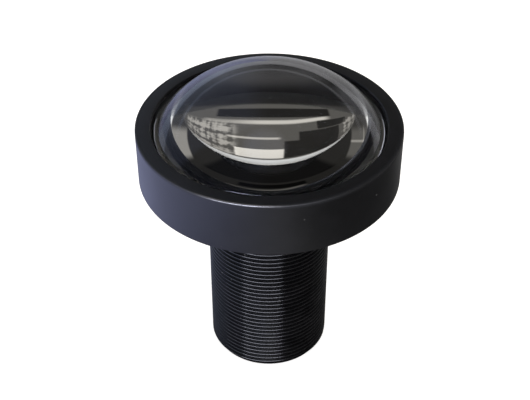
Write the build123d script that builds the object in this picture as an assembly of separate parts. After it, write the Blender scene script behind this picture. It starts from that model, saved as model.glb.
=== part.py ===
from build123d import *
from dataclasses import dataclass
from math import sqrt
import os

# A small board-camera lens with an M12 x 0.5 mounting thread, standing on its rear end.
# Millimetres. The optical axis is +Z and the rear face of the barrel lies at z = 0.
# The mounting thread is drawn as rings of its true pitch and section, without the helix.
# The retaining ring's thread is left plain.

# Housing
THREAD_DIAMETER = 12.0
THREAD_PITCH = 0.5
THREAD_DEPTH = 0.307
THREAD_CREST = 0.07           # width of the land between two grooves
THREAD_ROOT = 0.11            # width of a groove's floor
THREAD_NECK = 0.55            # plain neck between the last groove and the head, as wide as the crests
BARREL_LENGTH = 21.0          # rear face to the underside of the head
FRONT_BORE_WALL = 0.8         # barrel wall round the front group
REAR_BORE_WALL = 1.3          # barrel wall round the rear group
HEAD_HEIGHT = 5.5
RIM_WIDTH = 1.45              # flat ring round the front recess
FRONT_RECESS_DEPTH = 1.5      # rim down to the back of the front element
SEAT_WIDTH = 1.25             # ledge under the edge of the front element
HEAD_FLOOR = 1.6              # floor of the head's cavity, above the barrel
BARREL_END_BREAK = 0.33
HEAD_TOP_BREAK = 0.15
HEAD_UNDERSIDE_BREAK = 0.1
RECESS_BREAK = 0.08

# Front element
FRONT_DIAMETER = 21.9
FRONT_EDGE = 0.8              # thickness at the rim of the dome
FRONT_DOME_HEIGHT = 5.6       # from that edge up to the vertex
FRONT_BOND_GAP = 0.1          # radial gap that the adhesive fills
FRONT_BOND_CLIMB = 0.3        # how far the adhesive climbs the wall above the glass
FRONT_BACK_BEVEL = 0.15

# Fits and small features shared by the glass, spacers and films
SLIP_CLEARANCE = 0.02         # radial, for whatever drops into a bore
LEDGE_WIDTH = 0.7             # flat ground seat round a polished surface
SEAT_MARGIN = 0.1             # a ring's bore stays this far outside the polish
GLASS_BEVEL = 0.1
FILM_THICKNESS = 0.1

# Second element, a positive meniscus
SECOND_FRONT_RADIUS = 14.0
SECOND_REAR_RADIUS = 25.0
SECOND_EDGE = 2.5
RING_SEAT_OFFSET = 0.3        # its front ledge stands this far above the head's underside

# Third element, hollow on both sides
THIRD_FRONT_RADIUS = 30.0
THIRD_REAR_RADIUS = 7.0
THIRD_REAR_LEDGE = 1.3
THIRD_EDGE = 2.45

# Cemented pair
CROWN_FRONT_RADIUS = 12.0
CROWN_EDGE = 1.3
CEMENT_RADIUS = 7.5
FLINT_REAR_RADIUS = 40.0
FLINT_EDGE = 2.4

# Rear element
REAR_FRONT_RADIUS = 9.0
REAR_BACK_RADIUS = 30.0
REAR_EDGE = 1.3

# Spacers, stop and retaining ring
FRONT_SPACER_HEIGHT = 1.0
STOP_AIR_GAP = 0.5            # vertex of the crown to the stop
REAR_AIR_GAP = 1.5            # vertex of the flint to the vertex of the rear element
STOP_THICKNESS = 0.15
STOP_RIM = 1.88               # radial width of the stop, out to the front bore
STOP_EDGE_BEVEL = 0.1
STEP_RELIEF = 0.05            # the bore's step stays clear below the stop
TRAP_PITCH = 0.6              # light-trap grooves in the middle spacer
TRAP_DEPTH = 0.3
TRAP_END_LIP = 0.4
RING_HEIGHT = 1.2
RING_STEP = 0.6               # ring's thread outside the front bore
RING_RELIEF = 0.1             # its bore starts this far below the element's ledge
RING_FLARE = 0.4
RING_SLOT_WIDTH = 1.0
RING_SLOT_DEPTH = 0.6

# Rear end
LIP_THICKNESS = 0.7
FILTER_THICKNESS = 0.3
FILTER_RECESS_DEPTH = 0.55
FILTER_LEDGE = 0.52
FILTER_BOND_GAP = 0.1
FILTER_BEAD_WIDTH = 0.5
FILTER_BEAD_HEIGHT = 0.15

# Radii that follow from the sizes above
THREAD_RADIUS = THREAD_DIAMETER / 2
FRONT_BORE = THREAD_RADIUS - FRONT_BORE_WALL
REAR_BORE = THREAD_RADIUS - REAR_BORE_WALL
FRONT_GROUP = FRONT_BORE - SLIP_CLEARANCE
REAR_GROUP = REAR_BORE - SLIP_CLEARANCE
RING_WALL = LEDGE_WIDTH - SEAT_MARGIN
LIP_OPENING = REAR_GROUP - RING_WALL
FILTER_RECESS = LIP_OPENING + FILTER_LEDGE
RING_BORE = FRONT_BORE + RING_STEP
DOME_RADIUS = FRONT_DIAMETER / 2
FRONT_RECESS = DOME_RADIUS + FRONT_BOND_GAP
CAVITY = FRONT_RECESS - SEAT_WIDTH
HEAD_RADIUS = FRONT_RECESS + RIM_WIDTH


def sag(radius, reach):
    """Depth of a sphere's cap at a distance from its axis."""
    return radius - sqrt(radius**2 - reach**2)


@dataclass
class Surface:
    """A polished face: its radius, how far out it reaches, and +1 if it bulges or -1 if it is hollow."""

    radius: float
    reach: float
    sense: int = 1

    @property
    def rise(self):
        """Height of the vertex outside the ledge, negative on a hollow face."""
        return self.sense * sag(self.radius, self.reach)

    def arc(self, ledge, outward):
        """Arc from the vertex to the ledge at that height; outward is +1 for a face that looks forward."""
        vertex = ledge + outward * self.rise
        middle = self.reach / 2
        middle_height = vertex - outward * self.sense * sag(self.radius, middle)
        return ThreePointArc((0, 0, vertex), (middle, 0, middle_height), (self.reach, 0, ledge))


def turn(*lines):
    """Revolve a closed outline in the XZ plane about the optical axis."""
    return revolve(make_face(Curve() + list(lines)), axis=Axis.Z)


def turn_points(points):
    """Revolve a closed outline of (radius, height) points about the optical axis."""
    return turn(Polyline(*[(radius, 0, height) for radius, height in points], close=True))


def turn_element(ledge, edge, radius, rear, front):
    """A glass element whose rear ledge is at that height, bevelled wherever it has a ledge."""
    top = ledge + edge
    outline = [(rear.reach, ledge)]
    if rear.reach < radius:
        outline += [(radius - GLASS_BEVEL, ledge), (radius, ledge + GLASS_BEVEL)]
    if front.reach < radius:
        outline += [(radius, top - GLASS_BEVEL), (radius - GLASS_BEVEL, top)]
    outline.append((front.reach, top))
    wall = Polyline(*[(reach, 0, height) for reach, height in outline])
    axis = Line((0, 0, ledge - rear.rise), (0, 0, top + front.rise))
    return turn(rear.arc(ledge, -1), wall, front.arc(top, 1), axis)


def turn_ring(bottom, height, outer, inner):
    """A plain flat ring."""
    top = bottom + height
    return turn_points([(inner, bottom), (outer, bottom), (outer, top), (inner, top)])


# Polished faces
front_clear = FRONT_GROUP - LEDGE_WIDTH
rear_clear = REAR_GROUP - LEDGE_WIDTH
second_front = Surface(SECOND_FRONT_RADIUS, front_clear)
second_rear = Surface(SECOND_REAR_RADIUS, front_clear, -1)
third_front = Surface(THIRD_FRONT_RADIUS, front_clear, -1)
third_rear = Surface(THIRD_REAR_RADIUS, FRONT_GROUP - THIRD_REAR_LEDGE, -1)
crown_front = Surface(CROWN_FRONT_RADIUS, rear_clear)
crown_cement = Surface(CEMENT_RADIUS, REAR_GROUP)
flint_cement = Surface(CEMENT_RADIUS, REAR_GROUP, -1)
flint_rear = Surface(FLINT_REAR_RADIUS, rear_clear)
rear_front = Surface(REAR_FRONT_RADIUS, rear_clear)
rear_back = Surface(REAR_BACK_RADIUS, rear_clear)

# Heights of the rear group, stacked up from the rear lip
lip_seat = FILTER_RECESS_DEPTH + LIP_THICKNESS
rear_film_seat = lip_seat + REAR_EDGE
rear_spacer_seat = rear_film_seat + FILM_THICKNESS
flint_seat = rear_film_seat + rear_front.rise + REAR_AIR_GAP + flint_rear.rise
crown_seat = flint_seat + FLINT_EDGE
stop_spacer_seat = crown_seat + CROWN_EDGE
stop_seat = stop_spacer_seat + crown_front.rise + STOP_AIR_GAP
middle_spacer_seat = stop_seat + STOP_THICKNESS

# Heights of the front group, counted down from the retaining ring; the middle spacer takes what is left
ring_seat = BARREL_LENGTH + RING_SEAT_OFFSET
second_seat = ring_seat - SECOND_EDGE
front_spacer_seat = second_seat - FRONT_SPACER_HEIGHT
second_film_seat = front_spacer_seat - FILM_THICKNESS
third_seat = second_film_seat - THIRD_EDGE

# Heights in the head
head_top = BARREL_LENGTH + HEAD_HEIGHT
front_seat = head_top - FRONT_RECESS_DEPTH
front_film_seat = front_seat - FILM_THICKNESS
cavity_floor = BARREL_LENGTH + HEAD_FLOOR


def thread_outline():
    """The barrel's side: its rear end break, the grooves, and the plain neck under the head."""
    root = THREAD_RADIUS - THREAD_DEPTH
    flank = (THREAD_PITCH - THREAD_CREST - THREAD_ROOT) / 2
    first = BARREL_END_BREAK + THREAD_CREST
    count = int((BARREL_LENGTH - THREAD_NECK - first) / THREAD_PITCH)
    outline = [(THREAD_RADIUS - BARREL_END_BREAK, 0), (THREAD_RADIUS, BARREL_END_BREAK)]
    for groove in range(count):
        start = first + groove * THREAD_PITCH
        outline += [
            (THREAD_RADIUS, start),
            (root, start + flank),
            (root, start + flank + THREAD_ROOT),
            (THREAD_RADIUS, start + THREAD_PITCH - THREAD_CREST),
        ]
    return outline + [(THREAD_RADIUS, BARREL_LENGTH)]


def make_housing():
    """Barrel and head in one piece, with its stepped bore, front recess and rear filter recess."""
    outside = thread_outline() + [
        (HEAD_RADIUS - HEAD_UNDERSIDE_BREAK, BARREL_LENGTH),
        (HEAD_RADIUS, BARREL_LENGTH + HEAD_UNDERSIDE_BREAK),
        (HEAD_RADIUS, head_top - HEAD_TOP_BREAK),
        (HEAD_RADIUS - HEAD_TOP_BREAK, head_top),
    ]
    inside_head = [
        (FRONT_RECESS + RECESS_BREAK, head_top),
        (FRONT_RECESS, head_top - RECESS_BREAK),
        (FRONT_RECESS, front_film_seat),
        (CAVITY, front_film_seat),
        (CAVITY, cavity_floor),
        (RING_BORE, cavity_floor),
        (RING_BORE, ring_seat - RING_RELIEF),
    ]
    inside_barrel = [
        (FRONT_BORE, ring_seat - RING_RELIEF),
        (FRONT_BORE, stop_seat - STEP_RELIEF),
        (REAR_BORE, stop_seat - STEP_RELIEF),
        (REAR_BORE, lip_seat),
        (LIP_OPENING, lip_seat),
        (LIP_OPENING, FILTER_RECESS_DEPTH),
        (FILTER_RECESS, FILTER_RECESS_DEPTH),
        (FILTER_RECESS, 0),
    ]
    return turn_points(outside + inside_head + inside_barrel)


def make_front_element():
    """The dome: spherical in front, flat behind, with a short ground edge."""
    edge_top = front_seat + FRONT_EDGE
    dome = Surface((DOME_RADIUS**2 + FRONT_DOME_HEIGHT**2) / (2 * FRONT_DOME_HEIGHT), DOME_RADIUS)
    wall = Polyline(
        (0, 0, front_seat),
        (DOME_RADIUS - FRONT_BACK_BEVEL, 0, front_seat),
        (DOME_RADIUS, 0, front_seat + FRONT_BACK_BEVEL),
        (DOME_RADIUS, 0, edge_top),
    )
    axis = Line((0, 0, front_seat), (0, 0, edge_top + FRONT_DOME_HEIGHT))
    return turn(wall, dome.arc(edge_top, 1), axis)


def make_front_adhesive():
    """Bonding line that fills the gap round the front element and climbs the recess wall."""
    edge_top = front_seat + FRONT_EDGE
    return turn_points([
        (DOME_RADIUS, front_seat + FRONT_BACK_BEVEL),
        (FRONT_RECESS, front_seat + FRONT_BACK_BEVEL),
        (FRONT_RECESS, edge_top + FRONT_BOND_CLIMB),
        (DOME_RADIUS, edge_top),
    ])


def make_front_light_shield():
    """Black film on the head's ledge, under the edge of the front element."""
    return turn_ring(front_film_seat, FILM_THICKNESS, DOME_RADIUS, CAVITY - SEAT_WIDTH)


def make_retaining_ring():
    """Threaded ring that clamps the stack: a bore that flares forward and two spanner slots."""
    outer = RING_BORE - SLIP_CLEARANCE
    inner = FRONT_GROUP - RING_WALL
    top = ring_seat + RING_HEIGHT
    ring = turn_points([
        (inner, ring_seat),
        (outer, ring_seat),
        (outer, top),
        (inner + RING_FLARE, top),
        (inner, top - RING_SLOT_DEPTH),
    ])
    slots = Pos(0, 0, top) * Box(3 * outer, RING_SLOT_WIDTH, 2 * RING_SLOT_DEPTH)
    return ring - slots


def make_middle_spacer():
    """Long spacer between the stop and the third element, with light-trap grooves in its bore."""
    inner = FRONT_GROUP - RING_WALL
    narrow = inner - TRAP_DEPTH
    grooves = int((third_seat - middle_spacer_seat - 2 * TRAP_END_LIP) / TRAP_PITCH)
    first = third_seat - TRAP_END_LIP - grooves * TRAP_PITCH
    bore = [(inner, third_seat)]
    for groove in reversed(range(grooves)):
        foot = first + groove * TRAP_PITCH
        bore += [(narrow, foot + TRAP_PITCH), (inner, foot + TRAP_PITCH / 2)]
    bore += [(narrow, first), (narrow, middle_spacer_seat)]
    return turn_points(bore + [(FRONT_GROUP, middle_spacer_seat), (FRONT_GROUP, third_seat)])


def make_aperture_stop():
    """Thin plate whose opening has a sharp edge on its rear side."""
    opening = FRONT_GROUP - STOP_RIM
    top = stop_seat + STOP_THICKNESS
    return turn_points([
        (opening, stop_seat),
        (FRONT_GROUP, stop_seat),
        (FRONT_GROUP, top),
        (opening + STOP_EDGE_BEVEL, top),
    ])


def make_infrared_filter():
    """Flat round filter glass against the rear lip."""
    bottom = FILTER_RECESS_DEPTH - FILTER_THICKNESS
    radius = FILTER_RECESS - FILTER_BOND_GAP
    return Pos(0, 0, bottom) * Cylinder(radius, FILTER_THICKNESS, align=(Align.CENTER, Align.CENTER, Align.MIN))


def make_filter_adhesive():
    """Bead that fills the gap round the filter and overlaps its rear face."""
    rear_face = FILTER_RECESS_DEPTH - FILTER_THICKNESS
    glass_edge = FILTER_RECESS - FILTER_BOND_GAP
    return turn_points([
        (FILTER_RECESS, rear_face - FILTER_BEAD_HEIGHT),
        (FILTER_RECESS, FILTER_RECESS_DEPTH),
        (glass_edge, FILTER_RECESS_DEPTH),
        (glass_edge, rear_face),
        (FILTER_RECESS - FILTER_BEAD_WIDTH, rear_face),
    ])


parts = {
    "housing": make_housing(),
    "front_element": make_front_element(),
    "front_adhesive": make_front_adhesive(),
    "front_light_shield": make_front_light_shield(),
    "retaining_ring": make_retaining_ring(),
    "second_element": turn_element(second_seat, SECOND_EDGE, FRONT_GROUP, second_rear, second_front),
    "front_spacer": turn_ring(front_spacer_seat, FRONT_SPACER_HEIGHT, FRONT_GROUP, FRONT_GROUP - RING_WALL),
    "second_light_shield": turn_ring(second_film_seat, FILM_THICKNESS, FRONT_GROUP, FRONT_GROUP - LEDGE_WIDTH),
    "third_element": turn_element(third_seat, THIRD_EDGE, FRONT_GROUP, third_rear, third_front),
    "middle_spacer": make_middle_spacer(),
    "aperture_stop": make_aperture_stop(),
    "stop_spacer": turn_ring(stop_spacer_seat, stop_seat - stop_spacer_seat, REAR_GROUP, LIP_OPENING),
    "doublet_crown": turn_element(crown_seat, CROWN_EDGE, REAR_GROUP, crown_cement, crown_front),
    "doublet_flint": turn_element(flint_seat, FLINT_EDGE, REAR_GROUP, flint_rear, flint_cement),
    "rear_spacer": turn_ring(rear_spacer_seat, flint_seat - rear_spacer_seat, REAR_GROUP, LIP_OPENING),
    "rear_light_shield": turn_ring(rear_film_seat, FILM_THICKNESS, REAR_GROUP, LIP_OPENING),
    "rear_element": turn_element(lip_seat, REAR_EDGE, REAR_GROUP, rear_back, rear_front),
    "infrared_filter": make_infrared_filter(),
    "filter_adhesive": make_filter_adhesive(),
}

os.makedirs("parts", exist_ok=True)
for name, solid in parts.items():
    export_step(solid, f"parts/{name}.step")
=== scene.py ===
# %% [markdown]
# # A board-camera lens with a domed front
# The object is a small lens for a bare camera board. A slim barrel with an M12 x 0.5 thread
# screws into a holder on the board, and a wide plain head carries a domed front element.
# Everything is turned on a lathe or ground round, so almost every piece here is made the same
# way: its outline is drawn once and spun about the optical axis, which is +Z.
#
# The CAD solids come in first. They fix every size, and the pieces made below lie inside them.

# %% Load the solids
from math import asin, cos, hypot, pi, radians, sin, sqrt, tau

import bpy
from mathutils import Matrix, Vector


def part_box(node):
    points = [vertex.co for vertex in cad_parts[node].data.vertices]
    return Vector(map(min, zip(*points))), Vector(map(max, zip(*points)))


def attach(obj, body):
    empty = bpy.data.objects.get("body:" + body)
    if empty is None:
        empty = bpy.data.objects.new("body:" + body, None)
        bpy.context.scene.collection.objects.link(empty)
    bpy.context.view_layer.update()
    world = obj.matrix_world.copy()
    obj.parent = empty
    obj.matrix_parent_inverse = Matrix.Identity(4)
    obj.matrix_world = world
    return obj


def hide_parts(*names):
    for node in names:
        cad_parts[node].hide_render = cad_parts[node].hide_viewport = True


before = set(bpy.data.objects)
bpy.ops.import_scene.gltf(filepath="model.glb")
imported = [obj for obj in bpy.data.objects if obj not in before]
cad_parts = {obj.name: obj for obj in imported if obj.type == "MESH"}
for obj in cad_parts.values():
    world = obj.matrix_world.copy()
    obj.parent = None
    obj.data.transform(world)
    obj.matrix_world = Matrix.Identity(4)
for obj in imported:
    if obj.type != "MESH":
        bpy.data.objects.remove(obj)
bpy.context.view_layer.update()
print("solids loaded:", ", ".join(sorted(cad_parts)))

# %% [markdown]
# ## Drawing an outline and spinning it
# A lathe piece starts as one vertex. Extruding that vertex from point to point draws the outline
# in the XZ plane, just as a pencil would, and the Spin operator sweeps it once round the axis.
# Merging the doubles closes the seam and the poles, and the normals are then made to face out.
# Points are given as (radius, height) in millimetres, because that is how a turner reads a drawing.

# %% Helpers for turned pieces
MM = 0.001                    # metres
AXIS = (0, 0, 1)
ORIGIN = (0, 0, 0)
MERGE_DISTANCE = 1e-6         # metres


def start_editing(piece):
    """Select only this piece and open it in edit mode with nothing selected inside."""
    if bpy.context.object and bpy.context.object.mode == "EDIT":
        bpy.ops.object.mode_set(mode="OBJECT")
    bpy.ops.object.select_all(action="DESELECT")
    piece.select_set(True)
    bpy.context.view_layer.objects.active = piece
    bpy.ops.object.mode_set(mode="EDIT")
    bpy.ops.mesh.select_mode(type="VERT")
    bpy.ops.mesh.select_all(action="DESELECT")


def stop_editing():
    """Go back to object mode."""
    bpy.ops.object.mode_set(mode="OBJECT")


def draw_outline(name, points):
    """A chain of vertices through (radius, height) points, drawn by extruding one vertex."""
    bpy.ops.object.select_all(action="DESELECT")
    bpy.ops.mesh.primitive_plane_add(size=MM, location=ORIGIN)
    piece = bpy.context.active_object
    piece.name = piece.data.name = name
    bpy.ops.object.mode_set(mode="EDIT")
    bpy.ops.mesh.merge(type="CENTER")
    radius, height = points[0]
    bpy.ops.transform.translate(value=(radius * MM, 0, height * MM))
    for (radius, height), (next_radius, next_height) in zip(points, points[1:]):
        step = ((next_radius - radius) * MM, 0, (next_height - height) * MM)
        bpy.ops.mesh.extrude_vertices_move(TRANSFORM_OT_translate={"value": step})
    stop_editing()
    return piece


def close_up(piece):
    """Merge what coincides and make the faces point outwards."""
    start_editing(piece)
    bpy.ops.mesh.select_all(action="SELECT")
    bpy.ops.mesh.remove_doubles(threshold=MERGE_DISTANCE)
    bpy.ops.mesh.normals_make_consistent(inside=False)
    stop_editing()


def shade(piece, angle=28):
    """Shade smooth, but keep edges sharper than this angle in degrees crisp."""
    bpy.ops.object.select_all(action="DESELECT")
    piece.select_set(True)
    bpy.context.view_layer.objects.active = piece
    bpy.ops.object.shade_smooth_by_angle(angle=radians(angle))


def turn(name, points, steps=160, smooth=28):
    """Spin an outline of (radius, height) points about the optical axis."""
    piece = draw_outline(name, points)
    start_editing(piece)
    bpy.ops.mesh.select_all(action="SELECT")
    bpy.ops.mesh.spin(steps=steps, angle=tau, center=ORIGIN, axis=AXIS)
    stop_editing()
    close_up(piece)
    shade(piece, smooth)
    return piece


def soften(piece, width, segments=2, angle=40):
    """Break the sharp edges with a bevel of this width in millimetres."""
    bevel = piece.modifiers.new("edge_break", "BEVEL")
    bevel.width = width * MM
    bevel.segments = segments
    bevel.limit_method = "ANGLE"
    bevel.angle_limit = radians(angle)
    bevel.use_clamp_overlap = True
    bpy.context.view_layer.objects.active = piece
    bpy.ops.object.modifier_apply(modifier=bevel.name)
    shade(piece)


def describe(piece):
    """Print what was made: its faces, its size and where it lies."""
    low = [min(v.co[i] for v in piece.data.vertices) / MM for i in range(3)]
    high = [max(v.co[i] for v in piece.data.vertices) / MM for i in range(3)]
    size = " x ".join(f"{b - a:.2f}" for a, b in zip(low, high))
    faces = len(piece.data.polygons)
    print(f"{piece.name}: {faces} faces, {size} mm, from z {low[2]:.2f} to {high[2]:.2f}")


print("helpers ready:", ", ".join(helper.__name__ for helper in (turn, soften, shade, describe)))

# %% [markdown]
# ## Sizes
# These repeat the driving sizes of the solids, so that the smooth pieces fall exactly on them.
# The barrel is 12 mm across because that is what the thread standard says.

# %% Sizes of the head, barrel and bores
THREAD_RADIUS = 6.0
BARREL_LENGTH = 21.0
HEAD_RADIUS = 12.5
HEAD_TOP = 26.5
DOME_RADIUS = 10.95
FRONT_RECESS = 11.05
CAVITY = 9.8
FRONT_BORE = 5.2
REAR_BORE = 4.7
RING_BORE = 5.8
LIP_OPENING = 4.08
FILTER_RECESS = 4.6
FRONT_SEAT = 25.0
FILM = 0.1
CAVITY_FLOOR = 22.6
RING_SEAT = 21.3
STOP_SEAT = 10.06
LIP_SEAT = 1.25
FILTER_RECESS_DEPTH = 0.55
for node, radius in {"housing": HEAD_RADIUS, "front_element": DOME_RADIUS}.items():
    low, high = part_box(node)
    print(f"{node}: solid {(high.x - low.x) / MM:.2f} mm across, here {2 * radius:.2f} mm")

# %% [markdown]
# ## The mounting thread
# An M12 x 0.5 thread is a 60 degree groove that climbs half a millimetre a turn. It could be
# painted on with a bump pattern, but the silhouette and the glints on its crests come from real
# flanks. So one tooth is drawn, and a Screw modifier winds it up the barrel, one tooth for each
# turn, with the ends of neighbouring turns merged. Its crest is a small arc, which catches a lamp
# that a sharp or flat crest would miss. A bisect then trims both ends square.

# %% Wind the thread
PITCH = 0.5
THREAD_DEPTH = 0.307
ROOT_RADIUS = THREAD_RADIUS - THREAD_DEPTH
CREST_CURVE = 0.10            # radius of the rounded crests
ROUND_STEPS = 160
REAR_CHAMFER = 0.33
THREAD_END = 20.45
SPARE_TURNS = 3               # wound past both ends, and trimmed off
CUT_TOLERANCE = 1e-8          # metres
flank_reach = THREAD_DEPTH - CREST_CURVE / 2
half_tooth = flank_reach / sqrt(3) + CREST_CURVE * sqrt(3) / 2
crest = PITCH - half_tooth
tooth = [(ROOT_RADIUS, 0), (ROOT_RADIUS, PITCH - 2 * half_tooth)]
for step in range(-2, 3):
    lean = radians(30 * step)
    tooth.append((THREAD_RADIUS - CREST_CURVE * (1 - cos(lean)), crest + CREST_CURVE * sin(lean)))
tooth.append((ROOT_RADIUS, PITCH))
thread = draw_outline("thread", [(radius, height - 2 * PITCH) for radius, height in tooth])
winding = thread.modifiers.new("winding", "SCREW")
winding.angle = tau
winding.screw_offset = PITCH * MM
winding.iterations = int(BARREL_LENGTH / PITCH) + SPARE_TURNS
winding.steps = winding.render_steps = ROUND_STEPS
winding.use_merge_vertices = True
winding.merge_threshold = MERGE_DISTANCE
bpy.context.view_layer.objects.active = thread
bpy.ops.object.modifier_apply(modifier=winding.name)
close_up(thread)
start_editing(thread)
for height, below, above in ((REAR_CHAMFER, True, False), (THREAD_END, False, True)):
    bpy.ops.mesh.select_all(action="SELECT")
    bpy.ops.mesh.bisect(
        plane_co=(0, 0, height * MM),
        plane_no=AXIS,
        clear_inner=below,
        clear_outer=above,
        threshold=CUT_TOLERANCE,
    )
stop_editing()
describe(thread)

# %% [markdown]
# ## The housing
# Barrel and head are one turned piece of black anodised aluminium. Its outline runs from the
# rear face through the filter recess and the stepped bore, out over the head, and back to the
# short neck under it. It is left open where the thread goes. After the spin, the thread is
# joined on and two bridges close the gaps: the rear chamfer and the step up to the neck.

# %% Turn the housing and join the thread
EDGE_BREAK = 0.15             # radius of the head's front edge
SMALL_BREAK = 0.08            # chamfer at the mouth of the recess
FOOT_BREAK = 0.1              # chamfer at the foot of the head
STOP_PLAY = 0.05              # the bore's step lies this far below the stop
RING_PLAY = 0.1               # and the ring's this far below the ring
NECK_RADIUS = THREAD_RADIUS - 0.005
NECK_START = THREAD_END + 0.1
MARGIN = 0.01                 # for picking edges by height
FOOT_RADIUS = THREAD_RADIUS - REAR_CHAMFER
outline = [
    (FOOT_RADIUS, 0),
    (FILTER_RECESS, 0),
    (FILTER_RECESS, FILTER_RECESS_DEPTH),
    (LIP_OPENING, FILTER_RECESS_DEPTH),
    (LIP_OPENING, LIP_SEAT),
    (REAR_BORE, LIP_SEAT),
    (REAR_BORE, STOP_SEAT - STOP_PLAY),
    (FRONT_BORE, STOP_SEAT - STOP_PLAY),
    (FRONT_BORE, RING_SEAT - RING_PLAY),
    (RING_BORE, RING_SEAT - RING_PLAY),
    (RING_BORE, CAVITY_FLOOR),
    (CAVITY, CAVITY_FLOOR),
    (CAVITY, FRONT_SEAT - FILM),
    (FRONT_RECESS, FRONT_SEAT - FILM),
    (FRONT_RECESS, HEAD_TOP - SMALL_BREAK),
    (FRONT_RECESS + SMALL_BREAK, HEAD_TOP),
]
for step in range(7):
    lean = radians(15 * step)
    inwards = EDGE_BREAK * (1 - sin(lean))
    downwards = EDGE_BREAK * (1 - cos(lean))
    outline.append((HEAD_RADIUS - inwards, HEAD_TOP - downwards))
outline += [
    (HEAD_RADIUS, BARREL_LENGTH + FOOT_BREAK),
    (HEAD_RADIUS - FOOT_BREAK, BARREL_LENGTH),
    (NECK_RADIUS, BARREL_LENGTH),
    (NECK_RADIUS, NECK_START),
]


def select_rim(piece, low, high):
    """Select the open edges that lie between two heights, in millimetres."""
    uses = {}
    for face in piece.data.polygons:
        for key in face.edge_keys:
            uses[key] = uses.get(key, 0) + 1
    for part in (piece.data.vertices, piece.data.edges, piece.data.polygons):
        part.foreach_set("select", [False] * len(part))
    chosen = 0
    for edge in piece.data.edges:
        heights = [piece.data.vertices[i].co.z / MM for i in edge.vertices]
        if uses.get(tuple(sorted(edge.vertices))) == 1 and all(low <= h <= high for h in heights):
            edge.select = True
            for i in edge.vertices:
                piece.data.vertices[i].select = True
            chosen += 1
    return chosen


housing = turn("housing_turned", outline, steps=ROUND_STEPS)
bpy.ops.object.select_all(action="DESELECT")
thread.select_set(True)
housing.select_set(True)
bpy.context.view_layer.objects.active = housing
bpy.ops.object.join()
for low, high in ((0, REAR_CHAMFER), (THREAD_END, NECK_START)):
    count = select_rim(housing, low - MARGIN, high + MARGIN)
    bpy.ops.object.mode_set(mode="EDIT")
    bpy.ops.mesh.select_mode(type="EDGE")
    bpy.ops.mesh.bridge_edge_loops()
    stop_editing()
    print(f"bridged {count} open edges between z {low:.2f} and {high:.2f} mm")
close_up(housing)
shade(housing, 35)
print("open edges left:", select_rim(housing, -MARGIN, HEAD_TOP + MARGIN))
describe(housing)

# %% [markdown]
# ## The front element
# The dome is the eye-catcher. Its front is part of a sphere, its back is flat, and that flat
# back works as a mirror when it is seen from the side: light that arrives too slantingly can't
# leave the glass. The bright sickle that shows inside the dome is the white surroundings behind
# the lens, mirrored in it. That only works if the surface is very smooth and a sliver of air is
# left behind the flat back, so the arc gets many points and the back stands 0.01 mm clear.
# The ground edge is inked black, and so are the ledges of the other elements.

# %% Grind the glass elements
AIR_SLIVER = 0.01
EDGE_BEVEL = 0.1              # on the ground edge of the inner elements
BULGING = 1
HOLLOW = -1


def sag(radius, distance):
    """How far a sphere falls away from its vertex at this distance from the axis."""
    return radius - sqrt(radius**2 - distance**2)


def arc(radius, reach, sense, ledge, outward, points):
    """(radius, height) points of a polished face, from the vertex out to its ledge."""
    vertex = ledge + outward * sense * sag(radius, reach)
    widest = asin(reach / radius)
    distances = [radius * sin(widest * i / points) for i in range(points + 1)]
    return [(distance, vertex - outward * sense * sag(radius, distance)) for distance in distances]


def grind(name, ledge, edge, radius, rear, front, points=20, steps=128):
    """A glass element; rear and front are (curve radius, reach, BULGING or HOLLOW)."""
    top = ledge + edge
    outline = arc(*rear, ledge, -1, points)
    if rear[1] < radius:
        outline += [(radius - EDGE_BEVEL, ledge), (radius, ledge + EDGE_BEVEL)]
    if front[1] < radius:
        outline += [(radius, top - EDGE_BEVEL), (radius - EDGE_BEVEL, top)]
    outline += reversed(arc(*front, top, 1, points))
    piece = turn(name, outline, steps=steps)
    ink_edges(piece, rear, front)
    describe(piece)
    return piece


def ink_edges(piece, rear, front):
    """Give the ground ledges and the edge the second material slot."""
    for face in piece.data.polygons:
        distance = hypot(face.center.x, face.center.y) / MM
        reach = front[1] if face.normal.z > 0 else rear[1]
        upright = abs(face.normal.z) < 0.05
        face.material_index = 1 if upright or distance > reach else 0


print("glass tools ready, air behind the dome:", AIR_SLIVER, "mm")

# %% [markdown]
# The dome comes first. A face of it is inked when it is low down, near the edge and not part of
# the flat back.

# %% Grind the dome
DOME_CURVE = 13.506
DOME_EDGE_TOP = 25.8
DOME_BEVEL = 0.14
dome_edge = DOME_RADIUS - 0.01
dome_back = FRONT_SEAT + AIR_SLIVER
outline = [
    (0, dome_back),
    (dome_edge - DOME_BEVEL, dome_back),
    (dome_edge, dome_back + DOME_BEVEL),
    (dome_edge, DOME_EDGE_TOP),
]
outline += reversed(arc(DOME_CURVE, dome_edge, BULGING, DOME_EDGE_TOP, 1, 72))
front_dome = turn("front_dome", outline, steps=256)
for face in front_dome.data.polygons:
    distance = hypot(face.center.x, face.center.y) / MM
    low_down = face.center.z / MM < DOME_EDGE_TOP
    at_edge = distance > dome_edge - DOME_BEVEL - MARGIN
    face.material_index = 1 if low_down and at_edge and face.normal.z > -0.99 else 0
describe(front_dome)

# %% [markdown]
# Five more elements stand in the barrel. Only their curves and seats differ, so one function
# grinds them all. The cemented pair shares one curve: the flint is hollow where the crown bulges.

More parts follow.
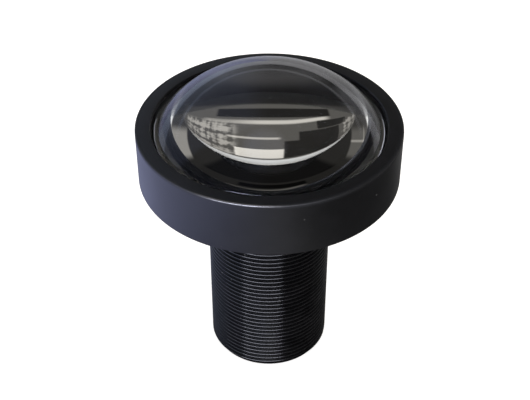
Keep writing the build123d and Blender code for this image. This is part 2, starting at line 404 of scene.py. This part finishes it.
# %% Grind the inner elements
GLASS_PLAY = 0.02             # round each element, in its bore
LEDGE = 0.7                   # width of the ground ledge
HOLLOW_LEDGE = 1.3            # and of the one round the deep hollow
CEMENT = 0.004
PAIR_CURVE = 7.5
PAIR_SEAT = 5.18
FLINT_EDGE = 2.4
FRONT_GROUP = FRONT_BORE - GLASS_PLAY
REAR_GROUP = REAR_BORE - GLASS_PLAY
front_reach = FRONT_GROUP - LEDGE
rear_reach = REAR_GROUP - LEDGE
second = grind(
    "second_glass", ledge=18.8, edge=2.5, radius=FRONT_GROUP,
    rear=(25, front_reach, HOLLOW), front=(14, front_reach, BULGING), points=24, steps=160,
)
third = grind(
    "third_glass", ledge=15.25, edge=2.45, radius=FRONT_GROUP,
    rear=(7, FRONT_GROUP - HOLLOW_LEDGE, HOLLOW), front=(30, front_reach, HOLLOW),
)
crown = grind(
    "crown_glass", ledge=PAIR_SEAT + FLINT_EDGE + CEMENT, edge=1.3, radius=REAR_GROUP,
    rear=(PAIR_CURVE, REAR_GROUP, BULGING), front=(12, rear_reach, BULGING),
)
flint = grind(
    "flint_glass", ledge=PAIR_SEAT, edge=FLINT_EDGE, radius=REAR_GROUP,
    rear=(40, rear_reach, BULGING), front=(PAIR_CURVE, REAR_GROUP, HOLLOW),
)
rear = grind(
    "rear_glass", ledge=LIP_SEAT, edge=1.3, radius=REAR_GROUP,
    rear=(30, rear_reach, BULGING), front=(9, rear_reach, BULGING),
)

# %% [markdown]
# ## The bond round the dome
# Black adhesive fills the narrow gap round the dome and creeps up the wall in a small hollow
# curve, which is drawn as an arc of six steps.

# %% Make the front adhesive
CURVE_STEPS = 6
quarter_step = pi / 2 / CURVE_STEPS
climb = 0.3
gap = FRONT_RECESS - DOME_RADIUS
bond_foot = FRONT_SEAT + 0.15
meniscus = [
    (
        DOME_RADIUS + gap * (1 - cos(step * quarter_step)),
        DOME_EDGE_TOP + climb * (1 - sin((CURVE_STEPS - step) * quarter_step)),
    )
    for step in range(1, CURVE_STEPS + 1)
]
front_bond = turn(
    "front_bond",
    [(DOME_RADIUS, bond_foot), (DOME_RADIUS, DOME_EDGE_TOP)]
    + meniscus
    + [(FRONT_RECESS, bond_foot), (DOME_RADIUS, bond_foot)],
    steps=200,
)
describe(front_bond)

# %% [markdown]
# ## The retaining ring
# The retaining ring is a turned ring with two slots for a spanner: a cube is stretched into a
# bar, and a Boolean modifier cuts both slots with it. A narrow bevel then breaks its edges.

# %% Make the retaining ring
RING_HEIGHT = 1.2
RING_CHAMFER = 0.4
ring_inner = FRONT_GROUP - 0.6
ring_outer = RING_BORE - 0.02
ring_top = RING_SEAT + RING_HEIGHT
slot_width = 1.0
slot_depth = 0.6
ring = turn(
    "slotted_ring",
    [
        (ring_inner, RING_SEAT),
        (ring_outer, RING_SEAT),
        (ring_outer, ring_top),
        (ring_inner + RING_CHAMFER, ring_top),
        (ring_inner, ring_top - slot_depth),
        (ring_inner, RING_SEAT),
    ],
    steps=128,
)
bpy.ops.object.select_all(action="DESELECT")
bpy.ops.mesh.primitive_cube_add(size=MM, location=(0, 0, ring_top * MM))
bar = bpy.context.active_object
bpy.ops.object.mode_set(mode="EDIT")
bpy.ops.transform.resize(value=(3 * ring_outer, slot_width, 2 * slot_depth))
stop_editing()
bpy.ops.object.transform_apply(location=True, rotation=False, scale=False)
cut = ring.modifiers.new("slots", "BOOLEAN")
cut.operation = "DIFFERENCE"
cut.solver = "EXACT"
cut.object = bar
bpy.context.view_layer.objects.active = ring
bpy.ops.object.modifier_apply(modifier=cut.name)
bpy.data.objects.remove(bar)
soften(ring, 0.05)
describe(ring)

# %% [markdown]
# ## The filter and its bead
# A thin plate of filter glass closes the rear. It is a disc with a fine bevel, and it lies a
# hair inside its solid, so that no two faces share one place. A bead of adhesive runs round it
# and slopes down to the wall of the recess.

# %% Make the filter and its bead
FILTER_THICKNESS = 0.3
FILTER_GAP = 0.1
FILTER_BEVEL = 0.04
FILTER_PLAY = 0.005
BEAD_WIDTH = 0.5
BEAD_HEIGHT = 0.15
filter_low = FILTER_RECESS_DEPTH - FILTER_THICKNESS
filter_edge = FILTER_RECESS - FILTER_GAP
filter_plate = turn(
    "filter_plate",
    [
        (0, filter_low),
        (filter_edge - FILTER_BEVEL, filter_low),
        (filter_edge - FILTER_PLAY, filter_low + FILTER_BEVEL),
        (filter_edge - FILTER_PLAY, FILTER_RECESS_DEPTH - FILTER_PLAY),
        (0, FILTER_RECESS_DEPTH - FILTER_PLAY),
    ],
    steps=160,
)
bead = [
    (
        FILTER_RECESS - BEAD_WIDTH * sin(step * quarter_step),
        filter_low - BEAD_HEIGHT * (1 - sin(step * quarter_step)),
    )
    for step in range(CURVE_STEPS + 1)
]
filter_bead = turn(
    "filter_bead",
    [(filter_edge, filter_low), (filter_edge, FILTER_RECESS_DEPTH), (FILTER_RECESS, FILTER_RECESS_DEPTH)]
    + bead
    + [(filter_edge, filter_low)],
    steps=160,
)
describe(filter_plate)
describe(filter_bead)

# %% [markdown]
# ## Shader arithmetic
# A material is a small program. Written as nodes it is hard to read, so a class wraps one
# output socket and lets Python's own operators add the Math nodes: `1 - mask * 0.5` builds two
# nodes. Every other kind of node comes from one method, which sets the node up first and then
# fills in its sockets with numbers or with links.

# %% A socket that can be used in sums
class Value:
    """One output socket of a node. Arithmetic on it adds Math nodes to the same tree."""

    def __init__(self, tree, socket):
        self.tree = tree
        self.socket = socket

    def node(self, kind, settings=None, sockets=None, output=0):
        """Add a node: its settings first, then values or links for its sockets."""
        made = self.tree.nodes.new(kind)
        for setting, value in (settings or {}).items():
            setattr(made, setting, value)
        for name, value in (sockets or {}).items():
            if isinstance(value, Value):
                self.tree.links.new(value.socket, made.inputs[name])
            else:
                made.inputs[name].default_value = value
        return Value(self.tree, made.outputs[output])

    def maths(self, operation, first, second=0.0):
        """One Math node; this value only says in which tree."""
        return self.node("ShaderNodeMath", {"operation": operation}, {0: first, 1: second})

    def __add__(self, other):
        return self.maths("ADD", self, other)

    def __sub__(self, other):
        return self.maths("SUBTRACT", self, other)

    def __rsub__(self, other):
        return self.maths("SUBTRACT", other, self)

    def __mul__(self, other):
        return self.maths("MULTIPLY", self, other)

    def __truediv__(self, other):
        return self.maths("DIVIDE", self, other)

    def __rtruediv__(self, other):
        return self.maths("DIVIDE", other, self)

    def __abs__(self):
        return self.maths("ABSOLUTE", self)

    def root(self):
        """The square root."""
        return self.maths("SQRT", self)

    def between(self, low, high):
        """0 below low, 1 above high and a smooth rise between; the limits may be swapped."""
        settings = {"interpolation_type": "SMOOTHSTEP"}
        start, end = (0.0, 1.0) if low < high else (1.0, 0.0)
        span = {"From Min": min(low, high), "From Max": max(low, high), "To Min": start, "To Max": end}
        return self.node("ShaderNodeMapRange", settings, {"Value": self, **span})

    def noise(self, scale, detail=2.0, roughness=0.5):
        """Soft noise read at this vector."""
        pattern = {"Scale": scale, "Detail": detail, "Roughness": roughness}
        return self.node("ShaderNodeTexNoise", None, {"Vector": self, **pattern})

    def cells(self, scale):
        """Distance to the nearest of many scattered points."""
        return self.node("ShaderNodeTexVoronoi", None, {"Vector": self, "Scale": scale}, "Distance")

    def split(self):
        """The three parts of a vector."""
        parts = self.node("ShaderNodeSeparateXYZ", None, {0: self})
        outputs = parts.socket.node.outputs
        return [Value(self.tree, outputs[i]) for i in range(3)]

    def blend(self, first, second):
        """A colour between two others, this value being the share of the second."""
        return self.node("ShaderNodeMix", {"data_type": "RGBA"}, {0: self, 6: first, 7: second}, 2)

    def bump(self, height, distance):
        """A bumped normal: height is a pattern of 0 to 1, distance is its relief in metres."""
        relief = {"Strength": 1.0, "Distance": distance, "Height": height}
        return self.node("ShaderNodeBump", None, relief)


Value.__radd__ = Value.__add__
Value.__rmul__ = Value.__mul__
print("arithmetic on sockets:", ", ".join(name for name in vars(Value) if name.startswith("__r")))

# %% [markdown]
# ## Starting a finish
# Each finish starts the same way: a material with one Principled shader, its constants set on
# the shader's own sockets, and the Object coordinates that every pattern here reads. What
# varies over the surface is linked in afterwards.

# %% Helpers for finishes
finishes = {}


def grey(level):
    """A grey with its alpha."""
    return (level, level, level, 1.0)


def start_finish(name, **constants):
    """A new material; returns it, its Principled shader and the Object coordinates."""
    material = bpy.data.materials.new(name)
    material.use_nodes = True
    shader = material.node_tree.nodes["Principled BSDF"]
    for socket, value in constants.items():
        shader.inputs[socket.replace("_", " ")].default_value = value
    place = Value(material.node_tree, None).node("ShaderNodeTexCoord", None, None, "Object")
    finishes[name] = material
    return material, shader, place


def feed(material, shader, **sources):
    """Link computed values into the shader's sockets."""
    for socket, value in sources.items():
        material.node_tree.links.new(value.socket, shader.inputs[socket.replace("_", " ")])


print("a mid grey with its alpha is", grey(0.5))

# %% [markdown]
# ## Black anodised aluminium
# Anodising is a hard, slightly rough oxide, dyed black. Up close it shows three things. Fine
# rings are left by the cutting tool: a noise that reads only radius and height gives them on
# flat and round faces alike. A fine grain lies over them. And the dye is rubbed thin on the
# crests of the thread, at the foot of the head and faintly round the rim, while a painted glint,
# a paler metallic band, lies on the stretch of the rim that faces the camera. A little lint
# sticks to the metal.
#
# The thread is made glossier than the head, so that its crests catch the lamp. The bores are
# made duller, and their colour is painted paler, a painted light that makes the cavity under the
# dome show as dark grey.

# %% Anodised finish
material, shader, place = start_finish("black_anodised_turned", Specular_IOR_Level=0.6)
x, y, z = place.split()
radius = (x * x + y * y).root()
profile = place.node("ShaderNodeCombineXYZ", None, {0: radius, 1: z})
tool_marks = profile.noise(16000, 3.0, 0.6)
broad_marks = profile.noise(1900, 2.0)
grain = place.noise(15000, 3.0, 0.65)
blotches = place.noise(420, 3.0, 0.55)
patches = place.noise(1300, 2.0)
lint = place.cells(1100).between(0.11, 0.07) * place.noise(700, 1.0).between(0.60, 0.64)


def distance_to_edge(edge_radius, edge_height):
    """Distance in metres from an edge that runs round the axis."""
    across = radius - edge_radius
    upward = z - edge_height
    return (across * across + upward * upward).root()


PAINTED_GLINT_OFFSET = 0.0028          # the painted glint on the rim lies a little to the left
# Painted glint: round the rim's edge the colour turns paler and metallic, fully on the stretch that
# faces the camera and only faintly elsewhere, where it is real wear.
front = place.maths("ARCTAN2", x + PAINTED_GLINT_OFFSET, 0 - y)
painted_glint_stretch = abs(front).between(0.36, 0.10)
rim_distance = distance_to_edge(0.01243, 0.02643)
uneven = 0.75 + 0.25 * patches.between(0.35, 0.62)
rim_wear_and_painted_glint = rim_distance.between(0.00014, 0.00006) * (0.03 + 0.95 * painted_glint_stretch) * uneven
rim_beside_painted_glint = rim_distance.between(0.0003, 0.0002) * (1 - painted_glint_stretch)
foot_distance = distance_to_edge(HEAD_RADIUS * MM, BARREL_LENGTH * MM)
foot_wear = foot_distance.between(0.00014, 0.00004) * patches.between(0.45, 0.7) * 0.3
on_barrel = z.between(0.0207, 0.0204)
crest_wear = radius.between(0.00593, 0.00599) * on_barrel * blotches.between(0.3, 0.65)
wear_and_painted_glint = place.maths("MAXIMUM", place.maths("MAXIMUM", rim_wear_and_painted_glint, foot_wear), crest_wear * 0.05)

# Painted light: the bores and the cavity under the dome get a paler colour, which stands in for light in
# the cavity. They are also made rougher.
in_cavity = radius.between(0.0101, 0.0099) * z.between(0.0212, 0.0214)
inside = place.maths("MAXIMUM", in_cavity, radius.between(0.0056, 0.0054))
dye = blotches.between(0.3, 0.75).blend((0.0035, 0.0035, 0.0045, 1), (0.006, 0.006, 0.0078, 1))
dye_and_painted_bore_light = inside.blend(dye, (0.042, 0.043, 0.047, 1))
# Pale metal shows where the edges are worn and where the rim's glint is painted.
worn_and_painted_glint = (wear_and_painted_glint * 0.75).blend(dye_and_painted_bore_light, (0.30, 0.30, 0.32, 1))
dusted = (lint * 0.5).blend(worn_and_painted_glint, (0.22, 0.22, 0.23, 1))
skin = 0.26 + 0.10 * blotches + 0.08 * grain
feed(
    material,
    shader,
    Base_Color=dusted,
    Roughness=skin - 0.16 * wear_and_painted_glint - 0.17 * on_barrel + 0.2 * (inside + rim_beside_painted_glint),
    Metallic=wear_and_painted_glint * 0.6,
    Normal=place.bump(tool_marks * 0.5 + grain * 0.12 + broad_marks * 0.25, 0.0000016),
)
anodised = material
print("anodised finish:", len(material.node_tree.nodes), "nodes")

# %% [markdown]
# ## Glass, ink and adhesive
# Coated glass reflects less light than bare glass, and what it does reflect is tinted. The
# Specular Tint of the shader scales that reflection, while grazing light and total reflection
# stay full, just as on a real coating. Faint smears and a few specks of dust keep it from
# looking like an empty shell. The ink on the ground edges is a dull black paint with streaks,
# and the adhesive is a satin resin with a slightly wavy skin.

# %% Glass finishes
CLEAR_BODY = (0.985, 0.995, 0.99, 1)
FILTER_BODY = (0.72, 0.93, 0.93, 1)


def glass_finish(name, index, tint, body=CLEAR_BODY):
    """Coated glass of this index; the tint is the colour that its coating reflects."""
    material, shader, place = start_finish(
        name, Transmission_Weight=1.0, IOR=index, Specular_Tint=(*tint, 1), Base_Color=body
    )
    smears = place.noise(300, 3.0).between(0.55, 0.85)
    specks = place.cells(2600).between(0.05, 0.02) * place.noise(900, 1.0).between(0.62, 0.7)
    clear = (specks * 0.25 + smears * 0.02).blend(body, (0.6, 0.6, 0.6, 1))
    feed(material, shader, Roughness=specks * 0.3 + smears * 0.012, Base_Color=clear)
    return material


front_glass = glass_finish("front_glass_polished", 1.525, (0.65, 0.65, 0.80))
inner_glass = glass_finish("inner_glass_coated", 1.62, (0.30, 0.42, 0.55))
filter_glass = glass_finish("filter_glass_coated", 1.52, (0.9, 0.45, 0.35), FILTER_BODY)
print("glass finishes:", front_glass.name, inner_glass.name, filter_glass.name)

# %% [markdown]
# ## Dull black finishes
# Ink, resin, film and paint are all nearly black, and what tells them apart is their skin. So
# one function makes them all from a pattern: it mixes two greys, varies the roughness and lifts
# the surface a little. Only the resin's gloss has a finer pattern than its waves.

# %% Ink, adhesive, film and paint
def dull_finish(name, gloss, pattern, greys, roughness, relief, fine_pattern=None):
    """A black finish; a pattern is the scale and detail of a noise, relief is in metres."""
    material, shader, place = start_finish(name, Specular_IOR_Level=gloss)
    texture = place.noise(*pattern)
    gloss_texture = place.noise(*fine_pattern) if fine_pattern else texture
    dark, pale = greys
    base, spread = roughness
    feed(
        material,
        shader,
        Base_Color=texture.between(0.3, 0.7).blend(grey(dark), grey(pale)),
        Roughness=base + spread * gloss_texture,
        Normal=place.bump(texture, relief),
    )
    return material


ink = dull_finish("edge_ink", 0.3, (5200, 4.0, 0.6), (0.005, 0.007), (0.55, 0.25), 6e-6)
adhesive = dull_finish(
    "black_adhesive_skin", 0.3, (900, 2.0), (0.005, 0.008), (0.45, 0.12), 30e-6, (3000, 2.0)
)
film = dull_finish("black_film_matte", 0.35, (9000, 4.0, 0.7), (0.045, 0.060), (0.6, 0.2), 5e-6)
plate = dull_finish("black_plate_painted", 0.4, (4200, 3.0), (0.009, 0.015), (0.5, 0.2), 4e-6)
print("finishes:", ", ".join(sorted(finishes)))

# %% [markdown]
# ## Dressing the pieces
# Each smooth piece stands for the solid it was made from. The solids whose shape is already
# right, such as the spacers and films between the elements, stay and only get a finish.

# %% Assign the finishes
def dress(piece, node, slot_name, *materials):
    """Put the materials on a made piece and let it stand for its solid."""
    for material in materials:
        piece.data.materials.append(material)
    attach(piece, "root")
    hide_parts(node)


dress(housing, "housing", "black_anodised", anodised)
dress(ring, "retaining_ring", "black_anodised", anodised)
dress(front_dome, "front_element", "front_glass", front_glass, ink)
dress(second, "second_element", "inner_glass", inner_glass, ink)
dress(third, "third_element", "inner_glass", inner_glass, ink)
dress(crown, "doublet_crown", "inner_glass", inner_glass, ink)
dress(flint, "doublet_flint", "inner_glass", inner_glass, ink)
dress(rear, "rear_element", "inner_glass", inner_glass, ink)
dress(filter_plate, "infrared_filter", "filter_glass", filter_glass)
dress(front_bond, "front_adhesive", "black_adhesive", adhesive)
dress(filter_bead, "filter_adhesive", "black_adhesive", adhesive)
kept = {
    "front_light_shield": film,
    "second_light_shield": film,
    "rear_light_shield": film,
    "aperture_stop": plate,
    "front_spacer": anodised,
    "middle_spacer": anodised,
    "stop_spacer": anodised,
    "rear_spacer": anodised,
}
for node, material in kept.items():
    for material_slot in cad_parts[node].material_slots:
        material_slot.material = material
print("kept solids:", ", ".join(kept))

# %% [markdown]
# ## Floor
# The lens stands on a plain pale sheet. The camera sees the sheet as white, because a glow is
# added for camera rays alone. So the lamps can stay low, and the lens keeps its soft shadow.
# Through the glass only the far part of the sheet glows, as the near part is in the head's shade.
# The black metal mirrors the sheet as well, and for those rays the sheet is painted: its colour
# is a dark grey of painted shade, and a cool painted glow, brightest on the left, stands in for a
# window's light on the table. That painted reflection is what draws the side of the head.
#
# The Light Path node tells what kind of ray is asking. A ray that went through glass counts as
# a glossy one too, so the rays mirrored outside are the glossy ones that aren't transmitted.

# %% Lay the floor
FLOOR_SIZE = 4                # metres


def ray_facts(anywhere):
    """What the Light Path node knows, by name, for the tree that this value is in."""
    outputs = anywhere.node("ShaderNodeLightPath").socket.node.outputs
    facts = {output.name: Value(anywhere.tree, output) for output in outputs}
    facts["mirrored"] = facts["Is Glossy Ray"] * (1 - facts["Is Transmission Ray"])
    return facts


bpy.ops.object.select_all(action="DESELECT")
bpy.ops.mesh.primitive_plane_add(size=FLOOR_SIZE, location=ORIGIN)
floor = bpy.context.active_object
floor.name = "table_top"
start_editing(floor)
bpy.ops.mesh.select_all(action="SELECT")
bpy.ops.mesh.subdivide(number_cuts=3)
stop_editing()

material, shader, place = start_finish("table_white", Roughness=0.85, Base_Color=(0.8, 0.8, 0.8, 1))
x, y, z = place.split()
away = (x * x + y * y).root()
rays = ray_facts(place)
mirrored = rays["mirrored"]
far_off = away.between(0.10, 0.25)
behind = y.between(0.01, 0.05)
# Painted reflection: for mirrored rays the sheet glows with a cool light, brightest behind the lens and
# on the left, and not at all right next to the lens.
painted_light_side = 0.42 * x.between(0.034, -0.012) + 0.80 * x.between(-0.012, -0.050)
painted_reflection_glow = (0.04 + 1.15 * painted_light_side) * (1 - behind) + (0.40 + 0.2 * painted_light_side) * behind
painted_reflection_glow = mirrored * painted_reflection_glow * away.between(0.009, 0.024)
white_glow = rays["Is Camera Ray"] * 0.75 + rays["Is Transmission Ray"] * far_off * 0.55
painted_reflection_tint = x.between(0.02, -0.03).blend((1, 1, 1, 1), (0.58, 0.63, 1.0, 1))
glow_tint = mirrored.blend((1, 1, 1, 1), painted_reflection_tint)
glow = place.node("ShaderNodeEmission", None, {"Color": glow_tint, "Strength": painted_reflection_glow + white_glow})
links = material.node_tree.links
both = material.node_tree.nodes.new("ShaderNodeAddShader")
links.new(shader.outputs[0], both.inputs[0])
links.new(glow.socket, both.inputs[1])
links.new(both.outputs[0], material.node_tree.nodes["Material Output"].inputs["Surface"])
sheet = place.noise(800, 3.0).between(0.2, 0.8).blend(grey(0.79), grey(0.81))
# Painted shade: for mirrored rays the sheet's colour is a dark grey, so the black metal mirrors a dark
# table.
feed(material, shader, Base_Color=mirrored.blend(sheet, grey(0.02)))
floor.data.materials.append(material)
print(f"floor: {floor.name}, {FLOOR_SIZE} m square, {len(floor.data.polygons)} faces")

# %% [markdown]
# ## The room that the glass shows
# Polished glass has hardly a look of its own: it shows its surroundings. They are painted on the
# world by direction. Dividing a direction's x and z by its y gives a place on a wall behind the
# lens: `along` runs across it, positive to the right, and `up` is 1 as high as the wall is far.
# On that wall are a dark band, a bright shelf edge, a thin line, a pale box, dark blocks and the
# clutter of a workshop, which two noises make, one of columns and one of rows.

# %% Paint the wall
world = bpy.data.worlds.new("surroundings")
bpy.context.scene.world = world
world.use_nodes = True
direction = Value(world.node_tree, None).node("ShaderNodeTexCoord", None, None, "Generated")
x, y, z = direction.split()
depth = direction.maths("MAXIMUM", y, 0.02)
along = x / depth
up = z / depth


def combine(first, second):
    """A vector of two parts, for a pattern to read."""
    return direction.node("ShaderNodeCombineXYZ", None, {0: first, 1: second})


def window(value, low, high, soft=0.006):
    """1 between two limits with soft edges."""
    return value.between(low - soft, low + soft) * value.between(high + soft, high - soft)


columns = combine(along * 10, 2.0).noise(1.0, 2.0, 0.6)
rows = combine(7.0, up * 12).noise(1.0, 2.0, 0.6)
scraps = combine(along, up).noise(16, 2.0) - 0.5
clutter = (columns * 0.5 + rows * 0.5 + 0.35 * scraps).between(0.44, 0.57)

dark_band = window(up, 0.69, 0.80) * window(along, -0.5, 0.42, 0.02)
shelf_height = up + 0.025 * along.between(-0.45, -0.1)
shelf = window(shelf_height, 0.640, 0.682, 0.012) * window(along, -0.46, 0.55, 0.06)
thin_line = window(up, 0.445, 0.468) * window(along, -0.06, 0.30, 0.02)
pale_box = window(up, 0.17, 0.32) * window(along, -0.09, 0.24, 0.01)
right_clutter = clutter * window(up, 0.15, 0.62, 0.03) * window(along, 0.24, 0.95, 0.05)
left_clutter = clutter * window(up, 0.18, 0.60, 0.03) * window(along, -1.1, -0.66, 0.03)
block = window(along, -0.60, -0.09, 0.008) * window(up, 0.17, 0.42, 0.008)
steps = window(along, -0.60, -0.19, 0.008) * window(up, 0.40, 0.52, 0.008)
steps = steps + window(along, -0.75, -0.34, 0.008) * window(up, 0.53, 0.635, 0.008)

wall = 0.10 - 0.085 * dark_band - 0.07 * up.between(0.84, 0.88)
wall = wall + 0.50 * shelf * (1 - 0.6 * along.between(0.02, 0.35)) + 0.40 * thin_line
wall = wall + 0.68 * pale_box + 0.34 * right_clutter + 0.26 * left_clutter
wall = wall * (1 - 0.8 * direction.maths("MAXIMUM", block, steps))
print("wall painted with", len(world.node_tree.nodes), "nodes")

# %% [markdown]
# ## The rest of the room
# To the sides the wall gives way to a soft glow with a few thin lines, and in front it is dark.
# The ceiling is bright, and so is the horizon, which is the sickle that the dome shows. Rays
# that were mirrored more often inside the dome show a second picture of the room round the
# first. It is much fainter in the photograph, so the room is dimmed for them.

# %% Add the sides, the ceiling and the horizon
rays = ray_facts(direction)
sideways = abs(along).between(1.1, 1.4)
right_side = x.between(0.3, 0.5)
lines = window(z, 0.205, 0.22, 0.008) + window(along, -4.3, -3.7, 0.2)
side_level = 0.09 + 0.17 * right_side + 0.2 * lines * (1 - right_side)
side = 0.02 + side_level * window(z, 0.10, 0.41, 0.015) * abs(along).between(1.6, 2.1)
in_front = y.between(0.12, -0.02)
scattered = rays["Diffuse Depth"].between(0.1, 0.9)
mirrored_often = rays["Ray Depth"].between(4.1, 4.9) * (1 - scattered)
ceiling = z.between(0.74, 0.84)
horizon = z.between(0.15, 0.12)

room = wall * (1 - 0.85 * mirrored_often) * (1 - sideways) + side * sideways
room = room * (1 - in_front) + 0.04 * in_front
room = room + ceiling * (0.5 + 2.3 * scattered) * (1 - 0.94 * mirrored_often)
room = room * (1 - horizon) + 0.82 * horizon
print("room painted with", len(world.node_tree.nodes), "nodes")

# %% [markdown]
# ## What each kind of ray sees
# Rays mirrored on the outside of the lens see a plainer room: cool and bright on the left, with
# two lamps and a bright horizon. Light that falls on matt surfaces sees one even grey, so every
# colour renders about as it is written. The camera itself sees plain white.

# %% Choose by the kind of ray
EVEN_LIGHT = 0.8


def lamp_spot(azimuth, elevation, inner, outer):
    """1 within the inner angle of a direction, 0 beyond the outer; azimuth 0 is behind the lens."""
    turned, raised = radians(azimuth), radians(elevation)
    centre = (sin(turned) * cos(raised), cos(turned) * cos(raised), sin(raised))
    sockets = {0: direction, 1: centre}
    likeness = direction.node("ShaderNodeVectorMath", {"operation": "DOT_PRODUCT"}, sockets, "Value")
    return likeness.between(cos(radians(outer)), cos(radians(inner)))


left_sky = x.between(0.06, -0.30)
outside = 0.06 + 0.32 * left_sky + 0.60 * z.between(0.16, 0.13)
outside = outside + 0.45 * window(z, 0.30, 0.35, 0.02) * y.between(0.3, 0.7)
outside = outside * (1 - 0.8 * in_front)
outside = outside + 0.3 * lamp_spot(40, 5, 10, 17) + 0.8 * lamp_spot(195, 76, 9, 19)
mirrored = rays["mirrored"]
lighting = rays["Is Diffuse Ray"]
warm = horizon.blend((1.0, 0.95, 0.88, 1), (1, 1, 1, 1))
cool = left_sky.blend((1, 1, 1, 1), (0.65, 0.76, 1.0, 1))
tint = mirrored.blend(warm, cool)
level = room * (1 - mirrored) + outside * mirrored
level = level * (1 - lighting) + EVEN_LIGHT * lighting
lit = direction.node("ShaderNodeVectorMath", {"operation": "SCALE"}, {0: tint, "Scale": level})
shown = rays["Is Camera Ray"].blend(lit, (1, 1, 1, 1))
world.node_tree.links.new(shown.socket, world.node_tree.nodes["Background"].inputs["Color"])
print("world:", len(world.node_tree.nodes), "nodes")

# %% [markdown]
# ## Lamps
# A wide softbox low in front is there only for its reflection. It draws the strip of light down
# the thread and the glint on the rim, and gives matt surfaces no light. A cool one on the left
# models the black metal as a window would. Neither shows through the glass, where the room's
# own lights are seen.

# %% Hang the lamps
LAMP_TARGET = Vector((0, 0, 0.02))


def softbox(name, azimuth, elevation, distance, width, height, watts, colour):
    """A rectangular lamp aimed at the lens; azimuth 0 is the camera's side, 90 the right."""
    lamp = bpy.data.lights.new(name, "AREA")
    lamp.shape = "RECTANGLE"
    lamp.size = width
    lamp.size_y = height
    lamp.energy = watts
    lamp.color = colour
    holder = bpy.data.objects.new(name, lamp)
    bpy.context.scene.collection.objects.link(holder)
    turned, raised = radians(azimuth), radians(elevation)
    holder.location = (
        distance * sin(turned) * cos(raised),
        -distance * cos(turned) * cos(raised),
        LAMP_TARGET.z + distance * sin(raised),
    )
    aim = LAMP_TARGET - holder.location
    holder.rotation_euler = aim.to_track_quat("-Z", "Y").to_euler()
    holder.visible_transmission = False
    print(f"{name}: {width} x {height} m, {watts} W, {distance} m away")
    return holder


highlight = softbox("window_front", -13, 23, 0.4, 0.50, 0.20, 2.7, (0.84, 0.86, 1.0))
highlight.visible_diffuse = False
softbox("window_left", -58, 7, 0.5, 0.40, 0.22, 0.45, (0.72, 0.80, 1.0))

# %% [markdown]
# ## Camera
# The camera stands where the photographer stood, about 84 mm up and 84 mm in front, with a long
# focal length. Glass in front of glass needs many bounces, or the dome turns black inside.

# %% Place the camera
CAMERA_PLACE = (-0.000407, -0.08388, 0.08393)
CAMERA_TILT = 51.52           # degrees up from looking straight down
camera = bpy.data.cameras.new("photo_camera")
camera.sensor_width = 36
camera.lens = 74.066
camera.clip_start = 0.001
holder = bpy.data.objects.new("photo_camera", camera)
bpy.context.scene.collection.objects.link(holder)
holder.location = CAMERA_PLACE
holder.rotation_euler = (radians(CAMERA_TILT), 0, 0)
bpy.context.scene.camera = holder
bpy.context.scene.view_settings.view_transform = "Standard"
bpy.context.scene.cycles.max_bounces = 20
bpy.context.scene.cycles.transmission_bounces = 20
bpy.context.scene.cycles.glossy_bounces = 12
print(f"camera: {camera.lens:.1f} mm lens, {90 - CAMERA_TILT:.1f} degrees above the floor")

# %% [markdown]
